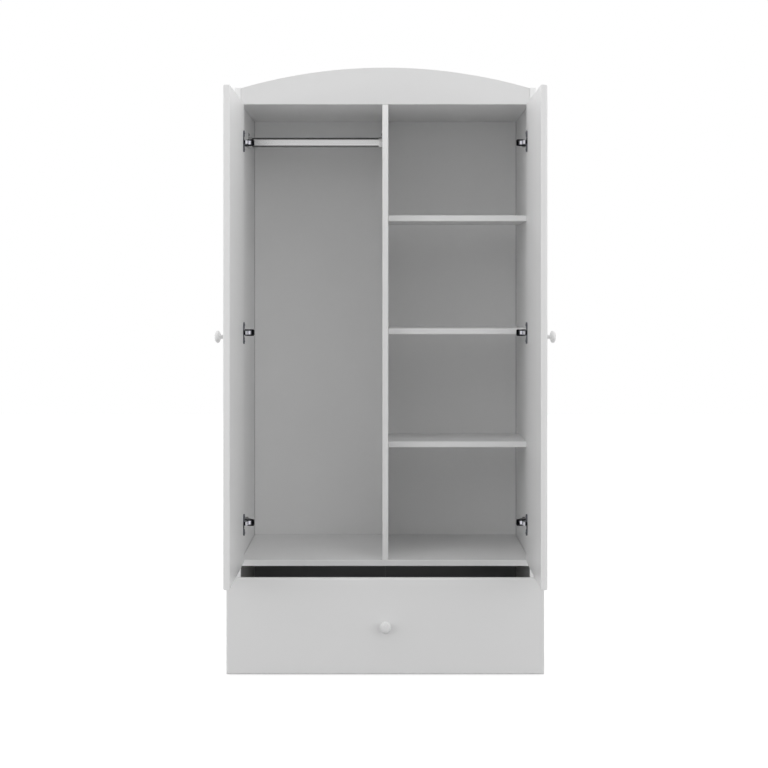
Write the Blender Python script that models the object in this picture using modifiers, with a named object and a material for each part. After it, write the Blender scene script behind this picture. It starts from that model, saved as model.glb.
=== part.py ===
"""Two-door wardrobe with an arched crown, a hanging bay, a shelf bay and a full-width drawer.

Metres, +Z up, front towards -Y. The wardrobe stands as it is shown: both doors open at a right
angle and the drawer pulled out. The origin is on the floor, under the middle of the open wardrobe.
"""

import math

import bmesh
import bpy
from mathutils import Vector

# Board stock and the seam that is left between two pieces that touch
BOARD = 0.018
BACK_SHEET = 0.003
SEAM = 0.0003
EDGE_ROUND = 0.0018
FRONT_ROUND = 0.0045
# How far a cutter runs past the piece that it cuts
OVERRUN = 0.018

# Carcass
CARCASS_WIDTH = 0.900
CARCASS_DEPTH = 0.500
SIDE_HEIGHT = 1.6935
CEILING_DROP = 0.0505
BOTTOM_PANEL_TOP = 0.2805
CROWN_END_DROP = 0.002
CROWN_RISE = 0.0615
CROWN_FACETS = 28
BACK_FLOOR_GAP = 0.006
REAR_RAIL_HEIGHT = 0.080
REAR_RAIL_FLOOR_GAP = 0.025

# Shelves of the right-hand bay
SHELF_COUNT = 3
SHELF_RECESS = 0.100
SHELF_DEPTH = 0.270

# Hanging rail of the left-hand bay: an oval tube in two end sockets
RAIL_DROP = 0.090
RAIL_SETBACK = 0.262
RAIL_TALL = 0.030
RAIL_DEEP = 0.015
RAIL_WALL = 0.001
SOCKET_WALL = 0.0018
SOCKET_REACH = 0.0105
SOCKET_PLATE = 0.002
SOCKET_TAB_ABOVE = 0.0246
SOCKET_TAB_RADIUS = 0.0065
SOCKET_SCREW_RADIUS = 0.0022

# Doors
DOOR_THICKNESS = 0.018
DOOR_REVEAL = 0.001
DOOR_MIDDLE_GAP = 0.003
DOOR_FACE_GAP = 0.0025
DOOR_TOP_LAP = 0.001
DOOR_BOTTOM_LAP = 0.0035
OPEN_ANGLE = math.radians(90)
PIVOT_PROUD = 0.0008
CORNER_CLEARANCE = 0.0007
HINGES_PER_DOOR = 3
HINGE_END_OFFSET = 0.115

# Hinge cup, let into the door
CUP_RADIUS = 0.0175
CUP_DEPTH = 0.0126
CUP_WALL = 0.0008
CUP_FLOOR = 0.0006
CUP_EDGE_WOOD = 0.0032
CUP_RIM = 0.0004
CUP_RIM_THICKNESS = 0.0008
EAR_THICKNESS = 0.004
EAR_OFFSET = 0.0095
EAR_SCREW_SPACING = 0.048
EAR_RADIUS = 0.008
EAR_START = 0.0115
EAR_HOLE_RADIUS = 0.0021

# Hinge arm on the side panel, its pin, and the bent link between arm and cup
HINGE_PIN_RADIUS = 0.0015
PIN_CLEARANCE = 0.0004
LINK_PIN_FROM_EDGE = 0.0095
LINK_PIN_DEPTH = 0.0075
LINK_WIDTH = 0.011
LINK_THICKNESS = 0.002
LINK_EYE_RADIUS = 0.003
LINK_SLOT_BACK = 0.0032
LINK_SLOT_AHEAD = 0.0014
LINK_SLOT_HALF_WIDTH = 0.00245
LINK_LUG_WALL = 0.002
# The link's bend: share of the way from the cup's pin to the slot, and rise off the straight line
LINK_BEND = (
    (0.070, 0.0022),
    (0.160, 0.0048),
    (0.285, 0.0072),
    (0.456, 0.0083),
    (0.600, 0.0070),
    (0.713, 0.0040),
    (0.800, 0.0012),
    (0.855, 0.0000),
)
# Degrees from the straight line at which the round of the eye meets the link's strip
LINK_EYE_MOUTH = 65
ARM_PIN_HEIGHT = 0.028
ARM_PIN_SETBACK = 0.008
ARM_PIN_COVER = 0.008
ARM_SHEET = 0.0015
ARM_SIDE_PLAY = 0.0005
ARM_LENGTH = 0.074
ARM_NOSE_HEIGHT = 0.0395
ARM_NOSE_LENGTH = 0.019
ARM_KNEE_HEIGHT = 0.0295
ARM_KNEE_SETBACK = 0.031
ARM_REAR_HEIGHT = 0.0165
ARM_REAR_START = 0.056
ARM_CHEEK_LIFT = 0.0085
ARM_CHEEK_RISE = 0.020
ARM_ROUND = 0.003
ARM_SCREW_INSET = 0.0085
ARM_FRONT_SETBACK = 0.002
PLATE_SHEET = 0.003
PLATE_SCREW_SETBACK = 0.037
PLATE_SCREW_SPACING = 0.032
PLATE_WING_RADIUS = 0.008
PLATE_LENGTH = 0.042
PLATE_BLOCK_LENGTH = 0.030
PLATE_HOLE_RADIUS = 0.0022

# Drawer
DRAWER_PULL = 0.248
DRAWER_FLOOR_GAP = 0.003
DRAWER_DOOR_GAP = 0.0025
DRAWER_BOARD = 0.016
DRAWER_BOX_HEIGHT = 0.140
DRAWER_BOX_FLOOR_GAP = 0.034
DRAWER_SHEET = 0.003
DRAWER_GROOVE_DEPTH = 0.006
DRAWER_GROOVE_LIFT = 0.010

# Drawer runners: rolled steel sections with a roller at one end of each
RUNNER_SIDE_SPACE = 0.0128
RUNNER_SHEET = 0.0012
RUNNER_END_GAP = 0.002
RUNNER_REAR_GAP = 0.030
TRACK_FLOOR_HEIGHT = 0.030
TRACK_LIP = 0.0095
TRACK_NOTCH = 0.035
ROLLER_WIDTH = 0.0066
ROLLER_EASE = 0.0008
ROLLER_SIDE_GAP = 0.0012
REAR_ROLLER_RADIUS = 0.0105
REAR_ROLLER_INSET = 0.015
FRONT_ROLLER_RADIUS = 0.0107
FRONT_ROLLER_SETBACK = 0.020
FRONT_ROLLER_PROUD = 0.001
AXLE_RADIUS = 0.0025
AXLE_END_GAP = 0.0006
LEDGE_REACH = 0.0095
FOOT_REACH = 0.012

# Knobs, turned: radius and distance from the face that they are screwed to
KNOB_INSET = 0.045
KNOB_PROFILE = (
    (0.0000, 0.0270),
    (0.0060, 0.0266),
    (0.0115, 0.0252),
    (0.0152, 0.0226),
    (0.0170, 0.0192),
    (0.0166, 0.0160),
    (0.0142, 0.0131),
    (0.0100, 0.0112),
    (0.0062, 0.0100),
    (0.0050, 0.0080),
    (0.0053, 0.0052),
    (0.0072, 0.0028),
    (0.0088, 0.0012),
    (0.0090, 0.0000),
    (0.0000, 0.0000),
)

# Facets of round pieces
KNOB_STEPS = 20
CUP_STEPS = 20
ROLLER_STEPS = 20
PIN_STEPS = 8
HOLE_STEPS = 8
OVAL_STEPS = 8
EAR_STEPS = 6
EYE_STEPS = 8
LUG_STEPS = 6
ROUND_STEPS = 3
# Edges that bend more than these are rounded, or stay sharp in the shading
ROUNDED_FROM = math.radians(40)
SHARP_FROM = math.radians(35)
# Points closer than this are one point
SAME_POINT = 0.00001

# Worked out from the sizes above
INNER_HALF = CARCASS_WIDTH / 2 - BOARD
CEILING_HEIGHT = SIDE_HEIGHT - CEILING_DROP
CROWN_END_HEIGHT = SIDE_HEIGHT - CROWN_END_DROP
RAIL_HEIGHT = CEILING_HEIGHT - RAIL_DROP
DOOR_EDGE = CARCASS_WIDTH / 2 - DOOR_REVEAL
DOOR_WIDTH = DOOR_EDGE - DOOR_MIDDLE_GAP / 2
DOOR_BOTTOM = BOTTOM_PANEL_TOP - DOOR_BOTTOM_LAP
DOOR_TOP = CEILING_HEIGHT + DOOR_TOP_LAP
DOOR_OUTER_Y = -(DOOR_FACE_GAP + DOOR_THICKNESS)
PIVOT_Y = DOOR_OUTER_Y - PIVOT_PROUD
# The door's inner corner swings on a circle that just clears the side panel's front edge
PIVOT_INSET = math.sqrt(PIVOT_Y**2 - (PIVOT_Y + DOOR_FACE_GAP) ** 2) - CORNER_CLEARANCE
PIVOT_X = DOOR_EDGE - PIVOT_INSET
CUP_INSET = CUP_EDGE_WOOD + CUP_RADIUS
POCKET_RADIUS = CUP_RADIUS - CUP_WALL
DRAWER_FRONT_TOP = DOOR_BOTTOM - DRAWER_DOOR_GAP
DRAWER_FRONT_REAR_Y = -DOOR_FACE_GAP - DRAWER_PULL
DRAWER_BOX_HALF = INNER_HALF - RUNNER_SIDE_SPACE
DRAWER_BOX_FRONT = DRAWER_FRONT_REAR_Y + SEAM
# The runners stop short of the lower rear rail, and the drawer's box is as long as they are
TRACK_LENGTH = CARCASS_DEPTH - BOARD - RUNNER_REAR_GAP - RUNNER_END_GAP
DRAWER_BOX_LENGTH = TRACK_LENGTH
DRAWER_SHEET_BOTTOM = DRAWER_BOX_FLOOR_GAP + DRAWER_GROOVE_LIFT
TRACK_TOP = TRACK_FLOOR_HEIGHT + 2 * RUNNER_SHEET + 2 * REAR_ROLLER_RADIUS + 2 * SEAM
FRONT_ROLLER_TOP = TRACK_TOP + FRONT_ROLLER_PROUD
BACK_REAR_Y = CARCASS_DEPTH + SEAM + BACK_SHEET
OPEN_DOOR_REACH = PIVOT_Y - (DOOR_WIDTH - PIVOT_INSET)
# The part's origin is under the middle of its length from the open doors' free edges to the back
CENTRE_Y = (BACK_REAR_Y + OPEN_DOOR_REACH) / 2

WHITE_LAMINATE = ("white_laminate", (0.60, 0.60, 0.60), 0.45, 0.0)
WHITE_FRONT = ("white_front", (0.62, 0.62, 0.62), 0.38, 0.0)
WHITE_HARDBOARD = ("white_hardboard", (0.58, 0.58, 0.58), 0.55, 0.0)
WHITE_KNOB = ("white_knob", (0.66, 0.66, 0.66), 0.35, 0.0)
RAIL_STEEL = ("rail_steel", (0.62, 0.62, 0.63), 0.30, 1.0)
HINGE_STEEL = ("hinge_steel", (0.55, 0.55, 0.57), 0.28, 1.0)
RUNNER_STEEL = ("runner_steel", (0.60, 0.60, 0.60), 0.40, 0.0)
ROLLER_NYLON = ("roller_nylon", (0.70, 0.70, 0.68), 0.45, 0.0)


def clear_scene():
    for obj in list(bpy.data.objects):
        bpy.data.objects.remove(obj, do_unlink=True)


def make_collection(name):
    collection = bpy.data.collections.new(name)
    bpy.context.scene.collection.children.link(collection)
    return collection


clear_scene()
PARTS = make_collection("wardrobe")
CUTTERS = make_collection("cutters")


def material(spec):
    """The Principled material of this name, made once."""
    name, colour, roughness, metallic = spec
    if name in bpy.data.materials:
        return bpy.data.materials[name]
    made = bpy.data.materials.new(name)
    made.use_nodes = True
    shader = made.node_tree.nodes["Principled BSDF"]
    shader.inputs["Base Color"].default_value = (*colour, 1.0)
    shader.inputs["Roughness"].default_value = roughness
    shader.inputs["Metallic"].default_value = metallic
    return made


def move_to(collection, obj):
    for held in list(obj.users_collection):
        held.objects.unlink(obj)
    collection.objects.link(obj)


def empty(name, location, parent=None, rotation=(0, 0, 0)):
    made = bpy.data.objects.new(name, None)
    made.location = location
    made.rotation_euler = rotation
    made.parent = parent
    PARTS.objects.link(made)
    return made


def place(obj, name, finish, parent, location, rotation=(0, 0, 0)):
    """Names a piece, gives it its finish and sets it in its parent's space."""
    move_to(PARTS, obj)
    obj.name = name
    obj.data.name = name
    obj.data.materials.clear()
    obj.data.materials.append(material(finish))
    obj.parent = parent
    obj.location = location
    obj.rotation_euler = rotation
    return obj


def cube_of(size):
    """A box of this size about its own middle, with its scale applied."""
    bpy.ops.mesh.primitive_cube_add(size=1)
    made = bpy.context.object
    for vertex in made.data.vertices:
        vertex.co = [axis * length for axis, length in zip(vertex.co, size)]
    return made


def cylinder_of(radius, length, steps):
    bpy.ops.mesh.primitive_cylinder_add(vertices=steps, radius=radius, depth=length)
    return bpy.context.object


def middle(low, high):
    return [(a + b) / 2 for a, b in zip(low, high)]


def span(low, high):
    return [b - a for a, b in zip(low, high)]


def bevel(obj, width, segments, method="ANGLE", label="rounded edges"):
    made = obj.modifiers.new(label, "BEVEL")
    made.width = width
    made.segments = segments
    made.limit_method = method
    made.angle_limit = ROUNDED_FROM
    return made


def board(name, low, high, parent, finish=WHITE_LAMINATE, rounding=EDGE_ROUND):
    """A board between two corners, with small rounded edges."""
    made = place(cube_of(span(low, high)), name, finish, parent, middle(low, high))
    if rounding:
        bevel(made, rounding, 2)
    return made


def front_board(name, low, high, parent):
    """A door or drawer front: its outer face, towards -Y, has fuller rounded edges."""
    made = place(cube_of(span(low, high)), name, WHITE_FRONT, parent, middle(low, high))
    outer_y = -(high[1] - low[1]) / 2
    weights = made.data.attributes.new("bevel_weight_edge", "FLOAT", "EDGE")
    for edge in made.data.edges:
        ends = [made.data.vertices[i].co.y for i in edge.vertices]
        weights.data[edge.index].value = 1.0 if max(ends) <= outer_y + SEAM else 0.0
    bevel(made, FRONT_ROUND, 3, "WEIGHT", "rounded outer face")
    bevel(made, EDGE_ROUND / 2, 1, "ANGLE", "eased edges")
    return made


def arc(centre, radius, start, end, steps):
    """Points along an arc, angles in degrees."""
    points = []
    for i in range(steps + 1):
        angle = math.radians(start + (end - start) * i / steps)
        points.append((centre[0] + radius * math.cos(angle), centre[1] + radius * math.sin(angle)))
    return points


def ring(centre, radius, steps):
    return arc(centre, radius, 0, 360, steps)[:-1]


def rounded(corners, steps=ROUND_STEPS):
    """An outline from corners of (x, y, radius); each radius is an arc that meets both sides."""
    points = []
    for i, (x, y, radius) in enumerate(corners):
        corner = Vector((x, y))
        if not radius:
            points.append((x, y))
            continue
        to_before = (Vector(corners[i - 1][:2]) - corner).normalized()
        to_after = (Vector(corners[(i + 1) % len(corners)][:2]) - corner).normalized()
        half_angle = to_before.angle(to_after) / 2
        centre = corner + (to_before + to_after).normalized() * radius / math.sin(half_angle)
        reach = radius / math.tan(half_angle)
        start = corner + to_before * reach - centre
        end = corner + to_after * reach - centre
        first = math.degrees(math.atan2(start.y, start.x))
        turn = math.degrees(math.atan2(end.y, end.x)) - first
        points += arc(centre, radius, first, first + (turn + 180) % 360 - 180, steps)
    return points


def beside(line, distance):
    """A line of points moved sideways, to its left when the distance is positive."""
    headings = [(Vector(b) - Vector(a)).normalized() for a, b in zip(line, line[1:])]
    moved = []
    for i, point in enumerate(line):
        before = headings[max(i - 1, 0)]
        after = headings[min(i, len(headings) - 1)]
        left = (before + after).normalized().orthogonal()
        # At a bend the moved corner lies further out, so that both sides keep the distance
        reach = distance / before.orthogonal().dot(left)
        moved.append(tuple(Vector(point) + left * reach))
    return moved


def stadium(half_length, radius, steps):
    """An upright slot shape: two half rounds joined by straight sides."""
    top = arc((0, half_length), radius, 0, 180, steps)
    bottom = arc((0, -half_length), radius, 180, 360, steps)
    return top + bottom


def flat_plate(outlines, thickness):
    """A mesh plate from closed outlines in its own XY plane; inner outlines are holes."""
    curve = bpy.data.curves.new("outline", "CURVE")
    curve.dimensions = "2D"
    curve.fill_mode = "BOTH"
    curve.extrude = thickness / 2
    for outline in outlines:
        spline = curve.splines.new("POLY")
        spline.points.add(len(outline) - 1)
        for point, (x, y) in zip(spline.points, outline):
            point.co = (x, y, 0, 1)
        spline.use_cyclic_u = True
    drawn = bpy.data.objects.new("outline", curve)
    bpy.context.scene.collection.objects.link(drawn)
    evaluated = drawn.evaluated_get(bpy.context.evaluated_depsgraph_get())
    mesh = bpy.data.meshes.new_from_object(evaluated)
    cage = bmesh.new()
    cage.from_mesh(mesh)
    bmesh.ops.remove_doubles(cage, verts=cage.verts, dist=SAME_POINT)
    bmesh.ops.recalc_face_normals(cage, faces=cage.faces)
    cage.to_mesh(mesh)
    cage.free()
    made = bpy.data.objects.new("plate", mesh)
    made.matrix_world = drawn.matrix_world
    bpy.context.scene.collection.objects.link(made)
    bpy.data.objects.remove(drawn, do_unlink=True)
    return made


def turned(profile, steps):
    """A closed profile of (radius, height), top to bottom, turned about its own Z axis."""
    mesh = bpy.data.meshes.new("profile")
    points = [(radius, 0, height) for radius, height in profile]
    mesh.from_pydata(points, [(i, i + 1) for i in range(len(points) - 1)], [])
    made = bpy.data.objects.new("turned", mesh)
    bpy.context.scene.collection.objects.link(made)
    screw = made.modifiers.new("turn", "SCREW")
    screw.steps = steps
    screw.render_steps = steps
    screw.use_merge_vertices = True
    screw.merge_threshold = SAME_POINT
    return made


def combine(target, tool, operation, label):
    """A Boolean of target with tool, which is kept as a hidden cutter."""
    move_to(CUTTERS, tool)
    tool.name = label
    tool.hide_render = True
    tool.display_type = "WIRE"
    made = target.modifiers.new(label, "BOOLEAN")
    made.operation = operation
    made.object = tool
    return made


def shade_round(mesh):
    mesh.shade_smooth()
    mesh.set_sharp_from_angle(angle=SHARP_FROM)


def finished_mesh(prototype, tools):
    """The prototype's mesh, its modifiers and its own turn and place written into its points.

    The prototype and its tools are removed.
    """
    bpy.context.view_layer.update()
    evaluated = prototype.evaluated_get(bpy.context.evaluated_depsgraph_get())
    mesh = bpy.data.meshes.new_from_object(evaluated)
    mesh.transform(prototype.matrix_world)
    shade_round(mesh)
    for obj in [prototype, *tools]:
        bpy.data.objects.remove(obj, do_unlink=True)
    return mesh


def copy_of(mesh):
    made = bpy.data.objects.new("copy", mesh)
    bpy.context.scene.collection.objects.link(made)
    return made


FACE_FRONT = (math.pi / 2, 0, 0)
FACE_SIDE = (math.pi / 2, 0, math.pi / 2)


def build_carcass(root):
    half = CARCASS_WIDTH / 2
    seat = INNER_HALF - SEAM
    top_panel_top = CEILING_HEIGHT + BOARD
    for name, side in (("left", -1), ("right", 1)):
        x = sorted((side * INNER_HALF, side * half))
        board(f"{name}_side_panel", (x[0], 0, 0), (x[1], CARCASS_DEPTH, SIDE_HEIGHT), root)
    board(
        "top_panel",
        (-seat, BOARD + SEAM, CEILING_HEIGHT),
        (seat, CARCASS_DEPTH, top_panel_top),
        root,
    )
    board(
        "bottom_panel",
        (-seat, 0, BOTTOM_PANEL_TOP - BOARD),
        (seat, CARCASS_DEPTH, BOTTOM_PANEL_TOP),
        root,
    )
    board(
        "centre_divider",
        (-BOARD / 2, 0, BOTTOM_PANEL_TOP + SEAM),
        (BOARD / 2, CARCASS_DEPTH, CEILING_HEIGHT - SEAM),
        root,
    )
    board(
        "lower_rear_rail",
        (-seat, CARCASS_DEPTH - BOARD, REAR_RAIL_FLOOR_GAP),
        (seat, CARCASS_DEPTH, REAR_RAIL_FLOOR_GAP + REAR_RAIL_HEIGHT),
        root,
    )
    for name, side in (("left", -1), ("right", 1)):
        x = sorted((side * SEAM / 2, side * (half - BACK_SHEET)))
        board(
            f"back_panel_{name}",
            (x[0], CARCASS_DEPTH + SEAM, BACK_FLOOR_GAP),
            (x[1], BACK_REAR_Y, top_panel_top),
            root,
            WHITE_HARDBOARD,
            0,
        )
    build_crown(root, seat)
    build_shelves(root, seat)


def build_crown(root, seat):
    """The arched board between the tops of the side panels."""
    radius = (seat**2 + CROWN_RISE**2) / (2 * CROWN_RISE)
    centre = (0, CROWN_END_HEIGHT + CROWN_RISE - radius)
    swing = math.degrees(math.asin(seat / radius))
    arch = arc(centre, radius, 90 - swing, 90 + swing, CROWN_FACETS)
    outline = [(-seat, CEILING_HEIGHT), (seat, CEILING_HEIGHT), *arch]
    crown = place(
        flat_plate([outline], BOARD),
        "arched_crown",
        WHITE_FRONT,
        root,
        (0, BOARD / 2, 0),
        FACE_FRONT,
    )
    bevel(crown, EDGE_ROUND, 2)


def build_shelves(root, seat):
    """Equal bays between the bottom panel and the ceiling."""
    clear = (CEILING_HEIGHT - BOTTOM_PANEL_TOP - SHELF_COUNT * BOARD) / (SHELF_COUNT + 1)
    for i, name in enumerate(("lower_shelf", "middle_shelf", "upper_shelf")):
        underside = BOTTOM_PANEL_TOP + clear * (i + 1) + BOARD * i
        board(
            name,
            (BOARD / 2 + SEAM, SHELF_RECESS, underside),
            (seat, SHELF_RECESS + SHELF_DEPTH, underside + BOARD),
            root,
        )


def build_rail(root):
    """The oval tube and the two sockets that hold it."""
    left = -INNER_HALF + SEAM + SOCKET_PLATE
    right = -BOARD / 2 - SEAM - SOCKET_PLATE
    straight = (RAIL_TALL - RAIL_DEEP) / 2
    tube = flat_plate(
        [
            stadium(straight, RAIL_DEEP / 2, OVAL_STEPS),
            stadium(straight, RAIL_DEEP / 2 - RAIL_WALL, OVAL_STEPS),
        ],
        right - left - 2 * SEAM,
    )
    place(
        tube,
        "hanging_rail",
        RAIL_STEEL,
        root,
        ((left + right) / 2, RAIL_SETBACK, RAIL_HEIGHT),
        FACE_SIDE,
    )
    shade_round(tube.data)
    sides = (("left", left - SOCKET_PLATE / 2, 1), ("right", right + SOCKET_PLATE / 2, -1))
    for name, plate_x, inward in sides:
        socket = copy_of(socket_mesh(inward))
        place(
            socket,
            f"rail_socket_{name}",
            RAIL_STEEL,
            root,
            (plate_x, RAIL_SETBACK, RAIL_HEIGHT),
            FACE_SIDE,
        )


def socket_mesh(inward):
    """A wall plate with a screw tab above and an oval cup for the end of the rail."""
    straight = (RAIL_TALL - RAIL_DEEP) / 2
    bore = RAIL_DEEP / 2 + SEAM
    outer = bore + SOCKET_WALL
    lower = arc((0, -straight), outer, 180, 360, OVAL_STEPS)
    upper = arc((0, SOCKET_TAB_ABOVE), SOCKET_TAB_RADIUS, 0, 180, OVAL_STEPS)
    shoulder = [(outer, straight), (-outer, straight)]
    outline = lower + shoulder[:1] + upper + shoulder[1:]
    hole = ring((0, SOCKET_TAB_ABOVE), SOCKET_SCREW_RADIUS, HOLE_STEPS)
    plate = flat_plate([outline, hole], SOCKET_PLATE)
    cup = flat_plate(
        [stadium(straight, outer, OVAL_STEPS), stadium(straight, bore, OVAL_STEPS)],
        SOCKET_REACH,
    )
    # The cup runs into the plate, so that the two join in one body
    cup.location.z = inward * (SOCKET_REACH / 2)
    combine(plate, cup, "UNION", "socket cup")
    return finished_mesh(plate, [cup])


def build_knob(name, parent, location, rotation=FACE_FRONT):
    knob = place(turned(KNOB_PROFILE, KNOB_STEPS), name, WHITE_KNOB, parent, location, rotation)
    shade_round(knob.data)
    return knob


def build_door(side_name, side, root, hinge_meshes):
    """A door, its knob and its hinge cups, in closed position about a pivot turned to open."""
    pivot = empty(
        f"{side_name}_door_pivot",
        (side * PIVOT_X, PIVOT_Y, 0),
        root,
        (0, 0, side * OPEN_ANGLE),
    )
    edge = side * PIVOT_INSET
    free = side * (PIVOT_INSET - DOOR_WIDTH)
    x = sorted((edge, free))
    door = front_board(
        f"{side_name}_door",
        (x[0], DOOR_OUTER_Y - PIVOT_Y, DOOR_BOTTOM),
        (x[1], DOOR_OUTER_Y - PIVOT_Y + DOOR_THICKNESS, DOOR_TOP),
        pivot,
    )
    mid_height = (DOOR_TOP + DOOR_BOTTOM) / 2
    knob_x = free + side * KNOB_INSET
    knob_y = DOOR_OUTER_Y - PIVOT_Y - SEAM
    build_knob(f"{side_name}_door_knob", pivot, (knob_x, knob_y, mid_height))
    inner_y = DOOR_OUTER_Y - PIVOT_Y + DOOR_THICKNESS
    cup_x = edge - side * CUP_INSET
    turn = 0 if side < 0 else math.pi
    for label, height in hinge_heights():
        cutter = cylinder_of(CUP_RADIUS + SEAM, 2 * (CUP_DEPTH + SEAM), CUP_STEPS)
        cutter.parent = pivot
        cutter.location = (cup_x, inner_y, height)
        cutter.rotation_euler = FACE_FRONT
        combine(door, cutter, "DIFFERENCE", f"{side_name} {label} cup bore")
        cup = copy_of(hinge_meshes["cup"])
        place(
            cup,
            f"{side_name}_{label}_hinge_cup",
            HINGE_STEEL,
            pivot,
            (cup_x, inner_y + SEAM, height),
            (0, turn, 0),
        )
    build_links(side_name, side, root, hinge_meshes, turn)
    build_arms(side_name, side, root, hinge_meshes, turn)


def hinge_heights():
    """The hinges' names and centre heights: near each end of the door and evenly between."""
    low = DOOR_BOTTOM + HINGE_END_OFFSET
    high = DOOR_TOP - HINGE_END_OFFSET
    step = (high - low) / (HINGES_PER_DOOR - 1)
    return [(label, low + step * i) for i, label in enumerate(("lower", "middle", "upper"))]


def link_pin_open():
    """The cup's pin with the left door open: distance in from the side panel's face, and Y."""
    across = PIVOT_INSET - LINK_PIN_FROM_EDGE
    deep = DOOR_OUTER_Y + DOOR_THICKNESS - LINK_PIN_DEPTH - PIVOT_Y
    # The left door opens clockwise, seen from above
    x = -PIVOT_X + deep * math.sin(OPEN_ANGLE) - across * math.cos(OPEN_ANGLE)
    y = PIVOT_Y + across * math.sin(OPEN_ANGLE) + deep * math.cos(OPEN_ANGLE)
    return x + INNER_HALF, y


def build_links(side_name, side, root, hinge_meshes, turn):
    inward, y = link_pin_open()
    pin = empty(f"{side_name}_link_pin", (side * (INNER_HALF - inward), y, 0), root)
    for label, height in hinge_heights():
        link = copy_of(hinge_meshes["link"])
        name = f"{side_name}_{label}_hinge_link"
        place(link, name, HINGE_STEEL, pin, (0, 0, height), (0, turn, 0))


def build_arms(side_name, side, root, hinge_meshes, turn):
    wall = empty(f"{side_name}_hinge_wall", (side * INNER_HALF, 0, 0), root)
    for label, height in hinge_heights():
        for piece in ("arm", "plate"):
            made = copy_of(hinge_meshes[piece])
            name = f"{side_name}_{label}_hinge_{piece}"
            place(made, name, HINGE_STEEL, wall, (0, 0, height), (0, turn, 0))


def cup_mesh():
    """Left-hand cup: origin at the middle of its mouth, mouth towards +Y, door edge towards -X."""
    rim = CUP_RADIUS + CUP_RIM
    disc = (
        (0, CUP_RIM_THICKNESS),
        (rim, CUP_RIM_THICKNESS),
        (rim, 0),
        (CUP_RADIUS, 0),
        (CUP_RADIUS, -CUP_DEPTH),
        (0, -CUP_DEPTH),
    )
    cup = turned(disc, CUP_STEPS)
    cup.rotation_euler = (-math.pi / 2, 0, 0)
    ears = [screw_ear(end) for end in (1, -1)]
    for ear in ears:
        combine(cup, ear, "UNION", "screw ear")
    pocket_depth = CUP_DEPTH - CUP_FLOOR
    pocket = cylinder_of(POCKET_RADIUS, 2 * pocket_depth, CUP_STEPS)
    pocket.rotation_euler = FACE_FRONT
    combine(cup, pocket, "DIFFERENCE", "pocket")
    pin_x = LINK_PIN_FROM_EDGE - CUP_INSET
    pin_far_side = HINGE_PIN_RADIUS - pin_x
    # The pin's ends stop inside the cup's wall
    half = math.sqrt((CUP_RADIUS - CUP_WALL / 4) ** 2 - pin_far_side**2)
    pin = cylinder_of(HINGE_PIN_RADIUS, 2 * half, PIN_STEPS)
    pin.location = (pin_x, -LINK_PIN_DEPTH - SEAM, 0)
    combine(cup, pin, "UNION", "link pin")
    return finished_mesh(cup, [*ears, pocket, pin])


def screw_ear(end):
    """One of the cup's two ears, above it where end is 1 and below it where end is -1."""
    screw_z = end * EAR_SCREW_SPACING / 2
    outline = arc((0, screw_z), EAR_RADIUS, 0, end * 180, EAR_STEPS)
    outline += [(-EAR_RADIUS, end * EAR_START), (EAR_RADIUS, end * EAR_START)]
    hole = ring((0, screw_z), EAR_HOLE_RADIUS, HOLE_STEPS)
    ear = flat_plate([outline, hole], EAR_THICKNESS)
    ear.rotation_euler = FACE_FRONT
    ear.location = (EAR_OFFSET, EAR_THICKNESS / 2, 0)
    return ear


def link_mesh():
    """Left-hand link: origin on the cup's pin, bent clear of the cup, slotted for the arm's pin."""
    inward, y = link_pin_open()
    reach = math.dist((inward, y), (ARM_PIN_HEIGHT, ARM_PIN_SETBACK))
    along = ((ARM_PIN_HEIGHT - inward) / reach, (ARM_PIN_SETBACK - y) / reach)
    out = (along[1], -along[0])
    half = LINK_THICKNESS / 2
    lug = LINK_SLOT_HALF_WIDTH + LINK_LUG_WALL
    slot_start = reach - LINK_SLOT_BACK
    slot_end = reach + LINK_SLOT_AHEAD
    line = [(share * slot_start, rise) for share, rise in LINK_BEND]
    neck = math.degrees(math.asin(half / lug))
    eye = arc((0, 0), LINK_EYE_RADIUS, LINK_EYE_MOUTH, 360 - LINK_EYE_MOUTH, EYE_STEPS)
    lug_arc = arc((slot_start, 0), lug, 180 + neck, 270, LUG_STEPS // 2)
    lug_arc += arc((slot_end, 0), lug, -90, 90, LUG_STEPS)
    lug_arc += arc((slot_start, 0), lug, 90, 180 - neck, LUG_STEPS // 2)
    outline = eye + beside(line, -half) + lug_arc + beside(line, half)[::-1]
    slot = arc((slot_start, 0), LINK_SLOT_HALF_WIDTH, 90, 270, LUG_STEPS)
    slot += arc((slot_end, 0), LINK_SLOT_HALF_WIDTH, -90, 90, LUG_STEPS)
    hole = ring((0, 0), HINGE_PIN_RADIUS + PIN_CLEARANCE, PIN_STEPS)

    # The shape is drawn on a straight line between the pins, then laid on their line in plan
    shapes = []
    for drawn in (outline, slot, hole):
        shapes.append([(a * along[0] + b * out[0], a * along[1] + b * out[1]) for a, b in drawn])
    return finished_mesh(flat_plate(shapes, LINK_WIDTH), [])


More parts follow.
